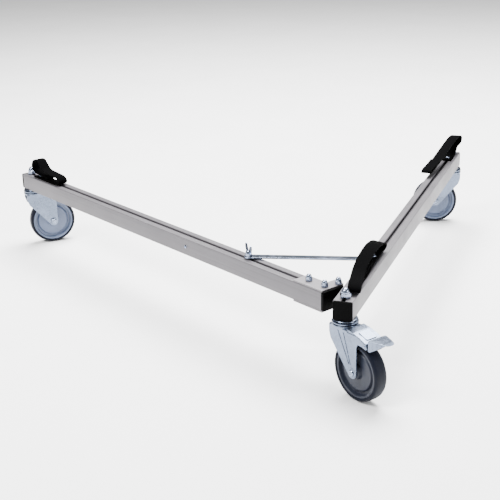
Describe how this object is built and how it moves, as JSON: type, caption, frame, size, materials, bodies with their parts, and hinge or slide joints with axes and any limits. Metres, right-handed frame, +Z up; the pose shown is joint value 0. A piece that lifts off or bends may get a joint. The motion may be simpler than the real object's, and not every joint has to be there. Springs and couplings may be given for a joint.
{
  "type": "folding stand dolly",
  "caption": "Folding V-shaped ground support on swivel casters for a lighting or background stand, with slotted arms, a sliding brace and webbing straps.",
  "frame": {"origin": "middle of the footprint, on the floor", "axes": "+Z up; the V opens towards +Y, its corner towards -Y, the left arm on the -X side"},
  "size_m": [1.2442, 1.231, 0.2524],
  "materials": {
    "anodised_aluminium": "satin anodised",
    "plain_aluminium": "plain",
    "black_plastic": "moulded",
    "bright_zinc": "bright zinc plated",
    "zinc_plated_sheet": "zinc plated pressed sheet",
    "grey_rim": "moulded",
    "grey_rubber": "matte",
    "black_webbing": "woven"
  },
  "bodies": {
    "right_arm": {"right_arm": "anodised_aluminium", "right_arm_front_cap": "black_plastic", "right_arm_rear_cap": "black_plastic", "hinge_lug": "black_plastic", "hinge_lug_screw": "bright_zinc", "brace_spacer": "bright_zinc", "brace_pivot_screw": "bright_zinc", "brace_slot_nut": "bright_zinc", "front_strap": "black_webbing", "right_strap": "black_webbing", "right_strap_anchor": "bright_zinc", "front_swivel_head": "zinc_plated_sheet", "front_stem_bolt": "bright_zinc", "front_cap_nut": "bright_zinc", "right_swivel_head": "zinc_plated_sheet", "right_stem_bolt": "bright_zinc", "right_cap_nut": "bright_zinc"},
    "left_arm": {"left_arm": "anodised_aluminium", "left_arm_end_cap": "black_plastic", "hinge_block": "black_plastic", "hinge_top_plate": "plain_aluminium", "hinge_bottom_plate": "plain_aluminium", "hinge_front_bolt": "bright_zinc", "hinge_front_nut": "bright_zinc", "hinge_rear_bolt": "bright_zinc", "hinge_rear_nut": "bright_zinc", "pivot_bolt": "bright_zinc", "pivot_nut": "bright_zinc", "left_strap": "black_webbing", "left_strap_anchor": "bright_zinc", "side_screw": "bright_zinc", "left_swivel_head": "zinc_plated_sheet", "left_stem_bolt": "bright_zinc", "left_cap_nut": "bright_zinc"},
    "brace": {"brace_bar": "bright_zinc"},
    "wing_screw": {"wing_screw": "bright_zinc"},
    "clamp_nut": {"clamp_nut": "bright_zinc"},
    "front_fork": {"front_fork": "zinc_plated_sheet", "front_axle_bolt": "bright_zinc", "front_axle_nut": "bright_zinc", "front_axle_sleeve": "bright_zinc", "brake_cover": "zinc_plated_sheet"},
    "front_wheel": {"front_rim": "grey_rim", "front_tyre": "grey_rubber"},
    "left_fork": {"left_fork": "zinc_plated_sheet", "left_axle_bolt": "bright_zinc", "left_axle_nut": "bright_zinc", "left_axle_sleeve": "bright_zinc"},
    "left_wheel": {"left_rim": "grey_rim", "left_tyre": "grey_rubber"},
    "right_fork": {"right_fork": "zinc_plated_sheet", "right_axle_bolt": "bright_zinc", "right_axle_nut": "bright_zinc", "right_axle_sleeve": "bright_zinc"},
    "right_wheel": {"right_rim": "grey_rim", "right_tyre": "grey_rubber"},
    "brake_pedal": {"brake_pedal": "zinc_plated_sheet", "brake_pin": "bright_zinc", "brake_pad": "grey_rubber"}
  },
  "joints": [
    {"name": "arm_fold", "type": "hinge", "parent": "right_arm", "child": "left_arm", "pos_m": [0.02418, -0.42963, 0], "axis": [0, 0, -1], "range_deg": [0, 60]},
    {"name": "brace_swing", "type": "hinge", "parent": "right_arm", "child": "brace", "pos_m": [0.12903, -0.31003, 0], "axis": [0, 0, -1], "range_deg": [0, 89.96]},
    {"name": "clamp_nut_slide", "type": "slide", "parent": "left_arm", "child": "clamp_nut", "axis": [-0.5, 0.866, 0], "range_m": [0, 0.1704]},
    {"name": "wing_screw_turn", "type": "hinge", "parent": "brace", "child": "wing_screw", "pos_m": [-0.12391, -0.23512, 0], "axis": [0, 0, 1], "continuous": true},
    {"name": "front_swivel", "type": "hinge", "parent": "right_arm", "child": "front_fork", "pos_m": [0.02128, -0.49666, 0], "axis": [0, 0, 1], "continuous": true},
    {"name": "front_wheel_spin", "type": "hinge", "parent": "front_fork", "child": "front_wheel", "pos_m": [0.0415, -0.53686, 0.0625], "axis": [0.8934, 0.4493, 0], "continuous": true},
    {"name": "left_swivel", "type": "hinge", "parent": "left_arm", "child": "left_fork", "pos_m": [-0.59316, 0.57764, 0], "axis": [0, 0, 1], "continuous": true},
    {"name": "left_wheel_spin", "type": "hinge", "parent": "left_fork", "child": "left_wheel", "pos_m": [-0.5491, 0.58677, 0.0625], "axis": [-0.2028, 0.9792, 0], "continuous": true},
    {"name": "right_swivel", "type": "hinge", "parent": "right_arm", "child": "right_fork", "pos_m": [0.59328, 0.49407, 0], "axis": [0, 0, 1], "continuous": true},
    {"name": "right_wheel_spin", "type": "hinge", "parent": "right_fork", "child": "right_wheel", "pos_m": [0.54915, 0.50289, 0.0625], "axis": [-0.1959, -0.9806, 0], "continuous": true},
    {"name": "brake_pedal_press", "type": "hinge", "parent": "front_fork", "child": "brake_pedal", "pos_m": [0.05723, -0.56813, 0.13], "axis": [0.8934, 0.4493, 0], "range_deg": [0, 10]}
  ],
  "couplings": [
    {"joint": "brace_swing", "follows": "arm_fold", "ratio": 1.4985},
    {"joint": "clamp_nut_slide", "follows": "arm_fold", "m_per_rad": 0.16226}
  ]
}
